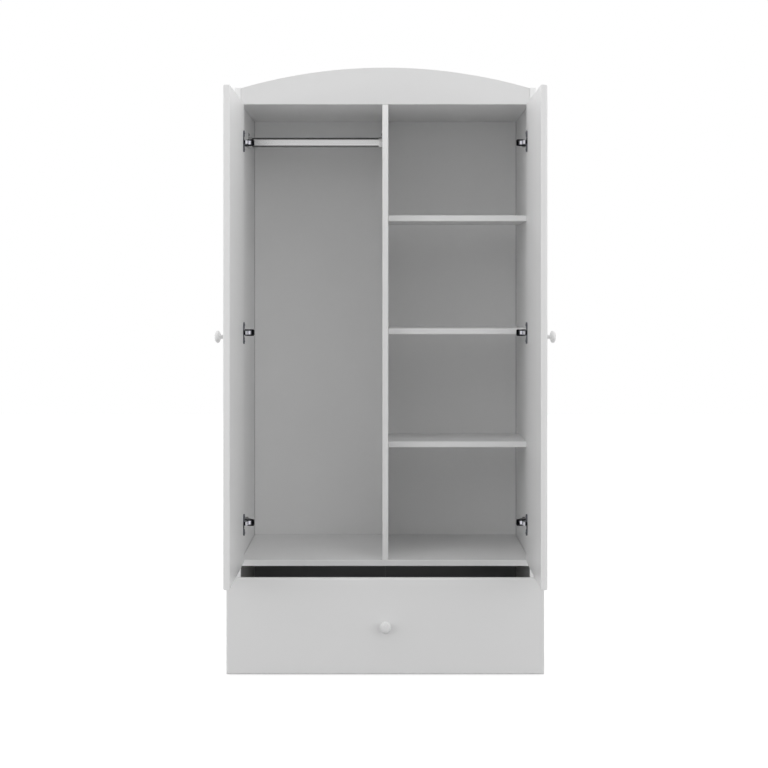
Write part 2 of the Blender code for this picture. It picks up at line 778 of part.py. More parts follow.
def arm_mesh():
    """Left-hand arm: a folded channel off the side panel, with the pin across its nose."""
    inner = LINK_WIDTH / 2 + ARM_SIDE_PLAY
    front = ARM_FRONT_SETBACK
    # The back of the fold, from the nose down its slope to the screwed end
    fold = [
        (ARM_NOSE_HEIGHT, front),
        (ARM_NOSE_HEIGHT, ARM_NOSE_LENGTH),
        (ARM_KNEE_HEIGHT, ARM_KNEE_SETBACK),
        (ARM_REAR_HEIGHT, ARM_REAR_START),
        (ARM_REAR_HEIGHT, ARM_LENGTH),
    ]
    fold_rounding = (ARM_ROUND, ARM_ROUND, 2 * ARM_ROUND, 2 * ARM_ROUND, ARM_ROUND)
    cheek = (
        (ARM_CHEEK_LIFT, ARM_LENGTH, ARM_ROUND),
        (ARM_CHEEK_LIFT, ARM_CHEEK_RISE, 2 * ARM_ROUND),
        (ARM_PIN_HEIGHT - ARM_PIN_COVER, front, 2 * ARM_ROUND),
    )
    back = [(x, y, radius) for (x, y), radius in zip(fold, fold_rounding)]
    arm = flat_plate([rounded([*cheek, *back])], 2 * (inner + ARM_SHEET))
    inside = beside(fold, ARM_SHEET)
    hollow = [
        (-OVERRUN, ARM_LENGTH + OVERRUN, 0),
        (-OVERRUN, -OVERRUN, 0),
        (inside[0][0], -OVERRUN, 0),
        (*inside[1], ARM_ROUND),
        (*inside[2], 2 * ARM_ROUND),
        (*inside[3], 2 * ARM_ROUND),
        (inside[4][0], ARM_LENGTH + OVERRUN, 0),
    ]
    channel = flat_plate([rounded(hollow)], 2 * inner)
    combine(arm, channel, "DIFFERENCE", "channel")
    screw = cylinder_of(PLATE_HOLE_RADIUS, 2 * ARM_SHEET, HOLE_STEPS)
    screw.rotation_euler = (0, math.pi / 2, 0)
    screw.location = (ARM_REAR_HEIGHT, ARM_LENGTH - ARM_SCREW_INSET, 0)
    combine(arm, screw, "DIFFERENCE", "arm screw")
    pin = cylinder_of(HINGE_PIN_RADIUS, 2 * inner + ARM_SHEET, PIN_STEPS)
    pin.location = (ARM_PIN_HEIGHT, ARM_PIN_SETBACK, 0)
    combine(arm, pin, "UNION", "arm pin")
    return finished_mesh(arm, [channel, screw, pin])


def plate_mesh():
    """Left-hand mounting plate: screwed to the side panel by two wings, with a block for the arm."""
    wing = PLATE_SCREW_SPACING / 2
    body_half = LINK_WIDTH / 2 + ARM_SIDE_PLAY + ARM_SHEET
    rear = PLATE_SCREW_SETBACK - PLATE_WING_RADIUS + PLATE_LENGTH
    aft = PLATE_SCREW_SETBACK + PLATE_WING_RADIUS
    outline = arc((PLATE_SCREW_SETBACK, wing), PLATE_WING_RADIUS, 180, 0, EAR_STEPS)
    outline += [(aft, body_half), (rear, body_half), (rear, -body_half), (aft, -body_half)]
    outline += arc((PLATE_SCREW_SETBACK, -wing), PLATE_WING_RADIUS, 0, -180, EAR_STEPS)
    holes = [
        ring((PLATE_SCREW_SETBACK, end * wing), PLATE_HOLE_RADIUS, HOLE_STEPS) for end in (1, -1)
    ]
    plate = flat_plate([outline, *holes], PLATE_SHEET)
    plate.rotation_euler = FACE_SIDE
    plate.location.x = SEAM + PLATE_SHEET / 2
    block_top = ARM_REAR_HEIGHT - ARM_SHEET - SEAM
    block_low = (SEAM + PLATE_SHEET / 2, rear - PLATE_BLOCK_LENGTH, -LINK_WIDTH / 2)
    block_high = (block_top, rear - ARM_SHEET, LINK_WIDTH / 2)
    block = cube_of(span(block_low, block_high))
    block.location = middle(block_low, block_high)
    combine(plate, block, "UNION", "arm block")
    return finished_mesh(plate, [block])


def build_drawer(root):
    drawer = empty("drawer_slide_line", (0, DRAWER_BOX_FRONT, 0), root)
    low_z = DRAWER_BOX_FLOOR_GAP
    high_z = DRAWER_BOX_FLOOR_GAP + DRAWER_BOX_HEIGHT
    inner = DRAWER_BOX_HALF - DRAWER_BOARD
    front = front_board(
        "drawer_front",
        (-DOOR_EDGE, -SEAM - DOOR_THICKNESS, DRAWER_FLOOR_GAP),
        (DOOR_EDGE, -SEAM, DRAWER_FRONT_TOP),
        drawer,
    )
    mid_height = (DRAWER_FLOOR_GAP + DRAWER_FRONT_TOP) / 2
    build_knob("drawer_knob", drawer, (0, -DOOR_THICKNESS - 2 * SEAM, mid_height))
    boards = [front]
    for name, side in (("left", -1), ("right", 1)):
        x = sorted((side * inner, side * DRAWER_BOX_HALF))
        boards.append(
            board(
                f"drawer_{name}_side",
                (x[0], 0, low_z),
                (x[1], DRAWER_BOX_LENGTH, high_z),
                drawer,
                WHITE_LAMINATE,
                EDGE_ROUND / 2,
            )
        )
    panel_half = inner + DRAWER_GROOVE_DEPTH - SEAM
    panel_front = -DRAWER_GROOVE_DEPTH
    board(
        "drawer_bottom",
        (-panel_half, panel_front, DRAWER_SHEET_BOTTOM),
        (panel_half, DRAWER_BOX_LENGTH, DRAWER_SHEET_BOTTOM + DRAWER_SHEET),
        drawer,
        WHITE_HARDBOARD,
        0,
    )
    board(
        "drawer_back",
        (-inner + SEAM, DRAWER_BOX_LENGTH - DRAWER_BOARD, DRAWER_SHEET_BOTTOM + DRAWER_SHEET + SEAM),
        (inner - SEAM, DRAWER_BOX_LENGTH, high_z),
        drawer,
        WHITE_LAMINATE,
        EDGE_ROUND / 2,
    )
    groove_low = (-panel_half - SEAM, panel_front - SEAM, DRAWER_SHEET_BOTTOM - SEAM)
    groove_high = (
        panel_half + SEAM,
        DRAWER_BOX_LENGTH + OVERRUN,
        DRAWER_SHEET_BOTTOM + DRAWER_SHEET + SEAM,
    )
    groove = cube_of(span(groove_low, groove_high))
    groove.parent = drawer
    groove.location = middle(groove_low, groove_high)
    for piece in boards:
        combine(piece, groove, "DIFFERENCE", "bottom panel groove")
    for name, side in (("left", -1), ("right", 1)):
        build_drawer_member(name, side, drawer)


def build_drawer_member(name, side, drawer):
    """The rolled section under the drawer's side, with a roller on an axle at its rear."""
    web_in = DRAWER_BOX_HALF + SEAM
    web_out = web_in + RUNNER_SHEET
    foot_top = DRAWER_BOX_FLOOR_GAP - SEAM
    foot_bottom = foot_top - RUNNER_SHEET
    ledge_bottom = FRONT_ROLLER_TOP + SEAM
    ledge_top = ledge_bottom + RUNNER_SHEET
    section = [
        (web_in - FOOT_REACH, foot_bottom),
        (web_out, foot_bottom),
        (web_out, ledge_bottom),
        (web_out + LEDGE_REACH, ledge_bottom),
        (web_out + LEDGE_REACH, ledge_top),
        (web_in, ledge_top),
        (web_in, foot_top),
        (web_in - FOOT_REACH, foot_top),
    ]
    length = DRAWER_BOX_LENGTH - RUNNER_END_GAP
    member = flat_plate([[(side * x, z) for x, z in section]], length)
    member.rotation_euler = FACE_FRONT
    member.location.y = RUNNER_END_GAP + length / 2
    roller_y = DRAWER_BOX_LENGTH - REAR_ROLLER_INSET
    roller_z = TRACK_FLOOR_HEIGHT + RUNNER_SHEET + SEAM + REAR_ROLLER_RADIUS
    inner_end = web_in + RUNNER_SHEET / 2
    outer_end = INNER_HALF - SEAM - RUNNER_SHEET - AXLE_END_GAP
    axle = axle_between(side * inner_end, side * outer_end, roller_y, roller_z)
    combine(member, axle, "UNION", "rear axle")
    mesh = finished_mesh(member, [axle])
    place(copy_of(mesh), f"{name}_drawer_runner", RUNNER_STEEL, drawer, (0, 0, 0))
    build_roller(
        f"{name}_rear_roller",
        side,
        drawer,
        roller_y,
        roller_z,
        REAR_ROLLER_RADIUS,
    )


def axle_between(x_from, x_to, y, z):
    axle = cylinder_of(AXLE_RADIUS, abs(x_to - x_from), PIN_STEPS)
    axle.rotation_euler = (0, math.pi / 2, 0)
    axle.location = ((x_from + x_to) / 2, y, z)
    return axle


def build_roller(name, side, parent, y, z, radius):
    """A nylon roller on an axle along X, with eased rims and a running bore."""
    half = ROLLER_WIDTH / 2
    bore = AXLE_RADIUS + SEAM
    profile = (
        (bore, half),
        (radius - ROLLER_EASE, half),
        (radius, half - ROLLER_EASE),
        (radius, -half + ROLLER_EASE),
        (radius - ROLLER_EASE, -half),
        (bore, -half),
        (bore, half),
    )
    # The roller runs between the web on the side panel and the web on the drawer
    x = INNER_HALF - SEAM - RUNNER_SHEET - ROLLER_SIDE_GAP - half
    roller = place(
        turned(profile, ROLLER_STEPS),
        name,
        ROLLER_NYLON,
        parent,
        (side * x, y, z),
        (0, math.pi / 2, 0),
    )
    shade_round(roller.data)
    return roller


def build_track(name, side, root):
    """The rolled section on the side panel, notched at the front for its own roller."""
    web_out = INNER_HALF - SEAM
    web_in = web_out - RUNNER_SHEET
    lip = web_in - TRACK_LIP + RUNNER_SHEET
    floor = TRACK_FLOOR_HEIGHT
    section = [
        (lip, floor),
        (web_out, floor),
        (web_out, TRACK_TOP),
        (lip, TRACK_TOP),
        (lip, TRACK_TOP - RUNNER_SHEET),
        (web_in, TRACK_TOP - RUNNER_SHEET),
        (web_in, floor + RUNNER_SHEET),
        (lip, floor + RUNNER_SHEET),
    ]
    track = flat_plate([[(side * x, z) for x, z in section]], TRACK_LENGTH)
    track.rotation_euler = FACE_FRONT
    track.location.y = RUNNER_END_GAP + TRACK_LENGTH / 2
    notch_low = (lip - OVERRUN, -OVERRUN, TRACK_TOP - 2 * RUNNER_SHEET)
    notch_high = (web_in, TRACK_NOTCH, TRACK_TOP + OVERRUN)
    notch = cube_of(span(notch_low, notch_high))
    notch_x, notch_y, notch_z = middle(notch_low, notch_high)
    notch.location = (side * notch_x, notch_y, notch_z)
    combine(track, notch, "DIFFERENCE", "roller notch")
    roller_z = FRONT_ROLLER_TOP - FRONT_ROLLER_RADIUS
    inner_end = web_in + RUNNER_SHEET / 2
    outer_end = DRAWER_BOX_HALF + SEAM + RUNNER_SHEET + AXLE_END_GAP
    axle = axle_between(side * inner_end, side * outer_end, FRONT_ROLLER_SETBACK, roller_z)
    combine(track, axle, "UNION", "front axle")
    mesh = finished_mesh(track, [notch, axle])
    place(copy_of(mesh), f"{name}_cabinet_runner", RUNNER_STEEL, root, (0, 0, 0))
    build_roller(
        f"{name}_front_roller",
        side,
        root,
        FRONT_ROLLER_SETBACK,
        roller_z,
        FRONT_ROLLER_RADIUS,
    )


def main():
    root = empty("wardrobe_origin", (0, -CENTRE_Y, 0))
    build_carcass(root)
    build_rail(root)
    hinge_meshes = {
        "cup": cup_mesh(),
        "link": link_mesh(),
        "arm": arm_mesh(),
        "plate": plate_mesh(),
    }
    for name, side in (("left", -1), ("right", 1)):
        build_door(name, side, root, hinge_meshes)
        build_track(name, side, root)
    build_drawer(root)


main()
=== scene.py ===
"""White wardrobe with an arched crown, shown with both doors open and the drawer pulled out.

The boards, doors, hinges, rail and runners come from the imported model. This script gives them
their finishes, adds the small fittings, and sets the camera and the light. The fittings are the
screws and nails, the lips of the hinge arms, and the strip over the seam of the back sheets.
"""

import math

import bmesh
import bpy
from mathutils import Matrix, Vector


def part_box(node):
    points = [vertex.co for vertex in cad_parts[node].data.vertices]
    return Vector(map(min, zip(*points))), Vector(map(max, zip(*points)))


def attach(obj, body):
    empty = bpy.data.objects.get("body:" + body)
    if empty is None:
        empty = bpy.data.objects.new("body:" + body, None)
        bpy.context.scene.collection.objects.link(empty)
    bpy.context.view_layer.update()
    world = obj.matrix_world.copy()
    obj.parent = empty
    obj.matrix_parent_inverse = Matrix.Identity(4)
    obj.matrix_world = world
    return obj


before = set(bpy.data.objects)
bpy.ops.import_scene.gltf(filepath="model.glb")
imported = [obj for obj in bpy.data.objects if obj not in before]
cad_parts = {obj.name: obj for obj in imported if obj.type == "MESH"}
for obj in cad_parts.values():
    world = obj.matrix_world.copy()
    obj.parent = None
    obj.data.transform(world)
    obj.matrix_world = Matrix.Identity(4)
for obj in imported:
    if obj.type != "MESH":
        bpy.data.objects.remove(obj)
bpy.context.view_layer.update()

# Sizes are in metres, and turns in radians, where no other unit is given

# Photograph: focal length and width of the sensor in millimetres, place of the camera, shift of
# the picture in shares of its width, and how far the camera sees
LENS = 75.0
SENSOR_WIDTH = 36.0
CAMERA_PLACE = (0.0, -4.806, 1.091)
CAMERA_SHIFT = (-0.0017, -0.1237)
SIGHT = 60.0

# Light of the room on the object: the same from everywhere, more from above and from the front,
# and most from low down on both sides
EVEN_LIGHT = 0.23
SKY_LIGHT = 0.55
FRONT_LIGHT = 0.08
SIDE_LIGHT = 2.04
# One large soft lamp overhead
SOFTBOX_SIZE = (4.0, 3.0)
SOFTBOX_PLACE = (0.0, -1.2, 4.5)
SOFTBOX_AIM = (0.0, -0.5, 0.0)
SOFTBOX_WATTS = 12.0
# Floor: half its width, how far it lies under the side panels, and the glow that makes it read as
# white in the picture
FLOOR_HALF = 9.0
FLOOR_DROP = 0.0004
FLOOR_GLOW = 0.80

# Blender's noise lies mostly between these two values
NOISE_LOW = 0.3
NOISE_HIGH = 0.7

# Boards: thickness of the band on their front edges
BAND = 0.002
# Back sheets: how deep the paint reaches into their front
PAINT = 0.0004
# Hardboard: height of its bare grain, and the share of it that is left under paint
BARE_GRAIN = 0.0002
PAINTED_SHARE = 0.16

# Hinge cups: from their front edge to their middle, and from there to the holes in the ears,
# towards the knob and up or down
CUP_HALF = 0.0179
EAR_HOLE_OFFSET = 0.0095
EAR_HOLE_RISE = 0.024
# Hinge plates: thickness of the wings, and how far their holes lie behind the plate's front edge
# and above or below its middle
WING_THICKNESS = 0.003
WING_HOLE_SETBACK = 0.008
WING_HOLE_RISE = 0.016
# Hinge arms: height of the rear flat off the side panel, and from its rear end to the screw
ARM_FLAT_HEIGHT = 0.0165
ARM_SCREW_INSET = 0.0085
# Hinge links: how far inside the side panel's inner face their end, drawn black as painted shade,
# starts
LINK_SHADED_END = 0.0155

# Lips on the cheeks of the hinge arms, as points off the side panel's inner face and behind its
# front edge
LIP_SHAPE = (
    (0.0385, 0.0026),
    (0.0235, 0.0026),
    (0.0210, 0.0033),
    (0.0192, 0.0050),
    (0.0098, 0.0199),
    (0.0123, 0.0216),
    (0.0222, 0.0066),
    (0.0240, 0.0061),
    (0.0385, 0.0061),
)
# How far the lips stand out of the cheeks, how far they are let into them, and how round they are
LIP_RISE = 0.0022
LIP_ROOT = 0.0008
LIP_ROUND = 0.0008

# Hanging rail: reach of its flat sides above and below its middle, and softness of their ends;
# past the flat sides it is drawn dark, as painted dark reflections
RAIL_FLAT = 0.0090
RAIL_FLAT_END = 0.0012
# Rail sockets: thickness of their plate, and from the top of its tab to the screw
SOCKET_PLATE = 0.002
SOCKET_SCREW_INSET = 0.0065

# Cabinet runners: how far their face lies off the side panel, height of the screws, and where the
# screws are along the runner, as shares of its length
TRACK_FACE = 0.0015
TRACK_SCREW_HEIGHT = 0.042
TRACK_SCREW_SHARES = (0.12, 0.50, 0.88)
# Drawer runners: from the outer edge of the foot to the screws, and where these are along it
FOOT_SCREW_INSET = 0.0055
FOOT_SCREW_SHARES = (0.10, 0.50, 0.90)

# Screws and nails: head radius, rise of the head, and length of shank that goes into the board
EAR_SCREW = (0.0036, 0.0012, 0.0030)
PLATE_SCREW = (0.0038, 0.0018, 0.0030)
ARM_SCREW = (0.0042, 0.0022, 0.0030)
SOCKET_SCREW = (0.0037, 0.0017, 0.0030)
RUNNER_SCREW = (0.0040, 0.0003, 0.0030)
NAIL = (0.0024, 0.0008, 0.0020)
# Nails: from one to the next, and from the edge of the back to the first
NAIL_SPACING = 0.150
NAIL_INSET = 0.009

# Points round a screw, a whole number for each arm of its recess, and round a nail
SCREW_POINTS = 32
NAIL_POINTS = 16
# Dome of a head, as shares of its radius and of its rise
HEAD_DOME = ((0.10, 1.0), (0.46, 0.96), (0.58, 0.90), (0.80, 0.68), (0.95, 0.30), (1.0, 0.0))
# Cross recess of a screw: number of its arms, and the reach of its hub, the reach of its arms and
# its depth as shares of the head's radius
RECESS_ARMS = 4
RECESS_HUB = 0.2
RECESS_REACH = 0.5
RECESS_DEPTH = 0.45
# Most of the height of head and shank that a recess may take
RECESS_LIMIT = 0.8
# Shank as a share of the head's radius
SHANK = 0.5
# The screws stop at other turns on each level of hinges: the lowest level's, and the step upwards
HINGE_SCREW_TURN = 0.35
HINGE_SCREW_STEP = 0.6
SOCKET_SCREW_TURN = 0.7
# Turn from one runner screw to the next
RUNNER_SCREW_STEP = 0.5

# Strip that joins the two back sheets: half its width, its thickness, and one side of its outline
# from the edge to the groove down the middle, as shares of both
STRIP_HALF_WIDTH = 0.009
STRIP_THICKNESS = 0.0010
STRIP_SIDE = (
    (1.00, 0.0),
    (1.00, 0.35),
    (0.97, 0.70),
    (0.90, 0.92),
    (0.80, 1.00),
    (0.16, 1.00),
    (0.11, 0.70),
)

# Edges of the fittings sharper than this many degrees are drawn sharp
HEAD_CREASE = 38
LIP_CREASE = 35
STRIP_CREASE = 40

LEVELS = ("lower", "middle", "upper")
SIDES = (("left", -1), ("right", 1))


def linear(code):
    """The linear colour of an sRGB hex code."""
    channels = [int(code[i : i + 2], 16) / 255 for i in (1, 3, 5)]
    straight = [c / 12.92 if c <= 0.04045 else ((c + 0.055) / 1.055) ** 2.4 for c in channels]
    return (*straight, 1.0)


def add(tree, kind, settings=None, links=None):
    """A new node, with its own properties or input values set and its inputs linked."""
    node = tree.nodes.new(kind)
    for name, value in (settings or {}).items():
        if isinstance(name, str) and hasattr(node, name):
            setattr(node, name, value)
        else:
            node.inputs[name].default_value = value
    for name, source in (links or {}).items():
        tree.links.new(source, node.inputs[name])
    return node


def coat(name, tones, patch, sheen, sheen_patch, grain, rise, metallic=0.0, ior=None):
    """A whole finish: two close tones in soft patches, an uneven sheen and a fine relief.

    sheen is the lowest and highest roughness. patch, sheen_patch and grain are the real widths of
    the patches of tone, the patches of sheen and the relief, and rise is its height, in metres.
    """
    made = bpy.data.materials.new(name)
    made.use_nodes = True
    tree = made.node_tree
    shader = tree.nodes["Principled BSDF"]
    shader.inputs["Metallic"].default_value = metallic
    if ior:
        shader.inputs["IOR"].default_value = ior
    place = add(tree, "ShaderNodeTexCoord", {"name": "place"}).outputs["Object"]
    clouds = add(
        tree,
        "ShaderNodeTexNoise",
        {"name": "tone clouds", "Scale": 1 / patch, "Detail": 3.0},
        {"Vector": place},
    )
    share = add(
        tree,
        "ShaderNodeMapRange",
        {"From Min": NOISE_LOW, "From Max": NOISE_HIGH},
        {"Value": clouds.outputs["Fac"]},
    )
    colour = add(
        tree,
        "ShaderNodeMix",
        {"data_type": "RGBA", 6: linear(tones[0]), 7: linear(tones[1])},
        {0: share.outputs["Result"]},
    )
    handled = add(
        tree, "ShaderNodeTexNoise", {"Scale": 1 / sheen_patch, "Detail": 3.0}, {"Vector": place}
    )
    polish = add(
        tree,
        "ShaderNodeMapRange",
        {"From Min": NOISE_LOW, "From Max": NOISE_HIGH, "To Min": sheen[0], "To Max": sheen[1]},
        {"Value": handled.outputs["Fac"]},
    )
    fine = add(
        tree,
        "ShaderNodeTexNoise",
        {"name": "grain", "Scale": 1 / grain, "Detail": 1.0},
        {"Vector": place},
    )
    relief = add(
        tree,
        "ShaderNodeBump",
        {"name": "relief", "Distance": rise, "Strength": 1.0},
        {"Height": fine.outputs["Fac"]},
    )
    tree.links.new(colour.outputs[2], shader.inputs["Base Color"])
    tree.links.new(polish.outputs["Result"], shader.inputs["Roughness"])
    tree.links.new(relief.outputs["Normal"], shader.inputs["Normal"])
    return made


def overlay(tree, where, second):
    """Lays a second colour over the finish's own, wherever the value where is 1."""
    base = tree.nodes["Principled BSDF"].inputs["Base Color"]
    both = add(
        tree, "ShaderNodeMix", {"data_type": "RGBA"}, {0: where, 6: base.links[0].from_socket}
    )
    if isinstance(second, str):
        both.inputs[7].default_value = linear(second)
    else:
        tree.links.new(second, both.inputs[7])
    tree.links.new(both.outputs[2], base)


def melamine_board(name, band_joint=None, band="#F6F6F6", corner=None, painted_shade_bay=None):
    """White melamine-faced chipboard: resin-soaked paper, pressed hard against a textured plate.

    To the eye it is an even white with a low sheen, and raking light brings out a fine pearl.
    band_joint is the Y at which the edge band meets the faces, and band the band's colour, drawn
    lighter than the faces as painted light on the front edges. corner is how far from the middle
    the board meets an upright. Joint and corner show as thin lines: the joint as a dark joint, the
    corner as a line of painted shade. painted_shade_bay is the top of the drawer's bay and half
    its width: the faces towards it are drawn grey as painted shade.
    """
    made = coat(
        name,
        ("#EFEFEF", "#ECECEC"),
        patch=0.30,
        sheen=(0.42, 0.50),
        sheen_patch=0.08,
        # The pearl is under a millimetre wide on the real board; at 1.6 mm it still shows close up
        grain=0.0016,
        rise=0.00004,
        ior=1.50,
    )
    tree = made.node_tree
    axes = add(tree, "ShaderNodeSeparateXYZ", links={0: tree.nodes["place"].outputs["Object"]})
    if band_joint is not None:
        # The edge band is drawn lighter than the faces, as painted light on the front edges
        ahead = add(
            tree,
            "ShaderNodeMath",
            {"operation": "LESS_THAN", 1: band_joint},
            {0: axes.outputs["Y"]},
        )
        overlay(tree, ahead.outputs[0], band)
        # The real line is a tenth of a millimetre; it is drawn at three tenths to show at all
        half_line = 0.00015
        line = add(
            tree,
            "ShaderNodeMath",
            {"operation": "COMPARE", 1: band_joint, 2: half_line},
            {0: axes.outputs["Y"]},
        )
        overlay(tree, line.outputs[0], "#B4B4B4")
    if corner is not None:
        # A line of painted shade in the corner, a millimetre wide
        shadow = 0.001
        away = add(tree, "ShaderNodeMath", {"operation": "ABSOLUTE"}, {0: axes.outputs["X"]})
        line = add(
            tree,
            "ShaderNodeMath",
            {"operation": "GREATER_THAN", 1: corner - shadow},
            {0: away.outputs[0]},
        )
        overlay(tree, line.outputs[0], "#7C7C7C")
    # The side panels' faces towards the drawer's bay are drawn grey, as painted shade
    if painted_shade_bay is not None:
        top, half_width = painted_shade_bay
        # Enough to take in the faces themselves
        margin = 0.0001
        away = add(tree, "ShaderNodeMath", {"operation": "ABSOLUTE"}, {0: axes.outputs["X"]})
        inward = add(
            tree,
            "ShaderNodeMath",
            {"operation": "LESS_THAN", 1: half_width + margin},
            {0: away.outputs[0]},
        )
        below = add(
            tree, "ShaderNodeMath", {"operation": "LESS_THAN", 1: top}, {0: axes.outputs["Z"]}
        )
        both = add(
            tree,
            "ShaderNodeMath",
            {"operation": "MULTIPLY"},
            {0: inward.outputs[0], 1: below.outputs[0]},
        )
        overlay(tree, both.outputs[0], "#A2A2A2")
    return made


def foiled_front(name, tones):
    """Fibreboard wrapped in white foil, as on the doors, the drawer front and the crown.

    The eye sees one smooth satin skin, a little glossier than the boards, with a faint orange
    peel where the glue under the foil has dried.
    """
    return coat(
        name,
        tones,
        patch=0.40,
        sheen=(0.35, 0.42),
        sheen_patch=0.06,
        grain=0.0030,
        rise=0.00003,
        ior=1.49,
    )


def painted_hardboard(name):
    """Hardboard, wood fibre pressed to a thin sheet, under white paint: matt and nearly smooth."""
    return coat(
        name,
        ("#E6E6E6", "#E2E2E2"),
        patch=0.35,
        sheen=(0.52, 0.62),
        sheen_patch=0.05,
        grain=0.0020,
        rise=BARE_GRAIN * PAINTED_SHARE,
        ior=1.47,
    )


def back_hardboard(name, painted_y, corner, shaded_below_z):
    """Hardboard: wood fibre pressed wet on a wire screen, with one face painted.

    Inside it reads as a matt coat, and from behind as bare brown board with the screen's weave.
    painted_y is the depth up to which the paint reaches, corner how far from the middle the sheet
    meets the side panels, where a line of painted shade is drawn, and shaded_below_z the height
    under which it is drawn dark grey, as painted shade in the drawer's bay.
    """
    made = coat(
        name,
        ("#F3F3F3", "#F0F0F0"),
        patch=0.35,
        sheen=(0.52, 0.62),
        sheen_patch=0.05,
        grain=0.0020,
        rise=BARE_GRAIN,
        ior=1.47,
    )
    tree = made.node_tree
    place = tree.nodes["place"].outputs["Object"]
    axes = add(tree, "ShaderNodeSeparateXYZ", links={0: place})
    # A line of painted shade in the corner, a millimetre and a half wide
    shadow = 0.0015
    away = add(tree, "ShaderNodeMath", {"operation": "ABSOLUTE"}, {0: axes.outputs["X"]})
    line = add(
        tree,
        "ShaderNodeMath",
        {"operation": "GREATER_THAN", 1: corner - shadow},
        {0: away.outputs[0]},
    )
    overlay(tree, line.outputs[0], "#BABABA")
    # Below the bottom panel the sheet is drawn dark grey, as painted shade in the drawer's bay
    painted_shade_low = add(
        tree, "ShaderNodeMath", {"operation": "LESS_THAN", 1: shaded_below_z}, {0: axes.outputs["Z"]}
    )
    overlay(tree, painted_shade_low.outputs[0], "#7E7E7F")
    bare = add(
        tree, "ShaderNodeMath", {"operation": "GREATER_THAN", 1: painted_y}, {0: axes.outputs["Y"]}
    ).outputs[0]
    # Fibres lie in tufts about 12 mm wide
    tuft = 0.012
    tufts = add(
        tree, "ShaderNodeTexNoise", {"Scale": 1 / tuft, "Detail": 5.0}, {"Vector": place}
    )
    fibre = add(
        tree,
        "ShaderNodeMix",
        {"data_type": "RGBA", 6: linear("#8E6E4C"), 7: linear("#765739")},
        {0: tufts.outputs["Fac"]},
    )
    overlay(tree, bare, fibre.outputs[2])
    # The screen's wires are 1.5 mm apart on the real sheet, and 3 mm here so that they show
    wires = 2 * math.pi / 0.003
    across = add(
        tree, "ShaderNodeMath", {"operation": "MULTIPLY", 1: wires}, {0: axes.outputs["X"]}
    )
    upward = add(
        tree, "ShaderNodeMath", {"operation": "MULTIPLY", 1: wires}, {0: axes.outputs["Z"]}
    )
    warp = add(tree, "ShaderNodeMath", {"operation": "SINE"}, {0: across.outputs[0]})
    weft = add(tree, "ShaderNodeMath", {"operation": "SINE"}, {0: upward.outputs[0]})
    screen = add(
        tree, "ShaderNodeMath", {"operation": "MULTIPLY"}, {0: warp.outputs[0], 1: weft.outputs[0]}
    )
    filled = add(
        tree,
        "ShaderNodeMath",
        {"operation": "MULTIPLY", 1: PAINTED_SHARE},
        {0: tree.nodes["grain"].outputs["Fac"]},
    )
    height = add(
        tree, "ShaderNodeMix", links={0: bare, 2: filled.outputs[0], 3: screen.outputs[0]}
    )
    tree.links.new(height.outputs[0], tree.nodes["relief"].inputs["Height"])
    return made


def lacquered_knob(name, axis):
    """Birch turned about the given axis, under white lacquer: glossy, with faint turning rings."""
    made = coat(
        name,
        ("#EDEDED", "#E8E8E8"),
        patch=0.015,
        sheen=(0.24, 0.34),
        sheen_patch=0.006,
        grain=0.001,
        rise=0.00003,
        ior=1.50,
    )
    tree = made.node_tree
    # The gouge leaves a ring each 1.2 mm; a band texture repeats every 0.314 of its scale
    rings = add(
        tree,
        "ShaderNodeTexWave",
        {"bands_direction": axis, "Scale": 0.314 / 0.0012, "Distortion": 0.6},
        {"Vector": tree.nodes["place"].outputs["Object"]},
    )
    tree.links.new(rings.outputs["Fac"], tree.nodes["relief"].inputs["Height"])
    return made


def chromed_tube(name, middle):
    """Steel tube with satin chromium plating.

    It mirrors the bay round it in soft bands, with fine lines left along the tube by drawing.
    middle is the height of its centre. The two round edges past its flat sides are drawn dark, as
    painted dark reflections.
    """
    made = coat(
        name,
        ("#CACACA", "#C2C2C2"),
        patch=0.004,
        sheen=(0.18, 0.26),
        sheen_patch=0.01,
        # The real lines are a few tenths of a millimetre wide; at 0.8 mm they still show close up
        grain=0.0008,
        rise=0.000002,
        metallic=1.0,
    )
    tree = made.node_tree
    # Stretched fifty times along the tube
    along = add(
        tree,
        "ShaderNodeMapping",
        {"Scale": (0.02, 1.0, 1.0)},
        {"Vector": tree.nodes["place"].outputs["Object"]},
    )
    for pattern in ("tone clouds", "grain"):
        tree.links.new(along.outputs["Vector"], tree.nodes[pattern].inputs["Vector"])
    axes = add(tree, "ShaderNodeSeparateXYZ", links={0: tree.nodes["place"].outputs["Object"]})
    # Past its flat sides the tube is drawn dark, as painted dark reflections
    level = add(
        tree, "ShaderNodeMath", {"operation": "SUBTRACT", 1: middle}, {0: axes.outputs["Z"]}
    )
    away = add(tree, "ShaderNodeMath", {"operation": "ABSOLUTE"}, {0: level.outputs[0]})
    edge = add(
        tree,
        "ShaderNodeMapRange",
        {"From Min": RAIL_FLAT, "From Max": RAIL_FLAT + RAIL_FLAT_END},
        {"Value": away.outputs[0]},
    )
    overlay(tree, edge.outputs["Result"], "#747474")
    return made


def satin_chrome(name):
    """Die-cast zinc with satin chromium plating, as on the rail's sockets: soft and pale grey."""
    return coat(
        name,
        ("#CACACA", "#C2C2C2"),
        patch=0.006,
        sheen=(0.22, 0.32),
        sheen_patch=0.004,
        grain=0.001,
        rise=0.00001,
        metallic=1.0,
    )


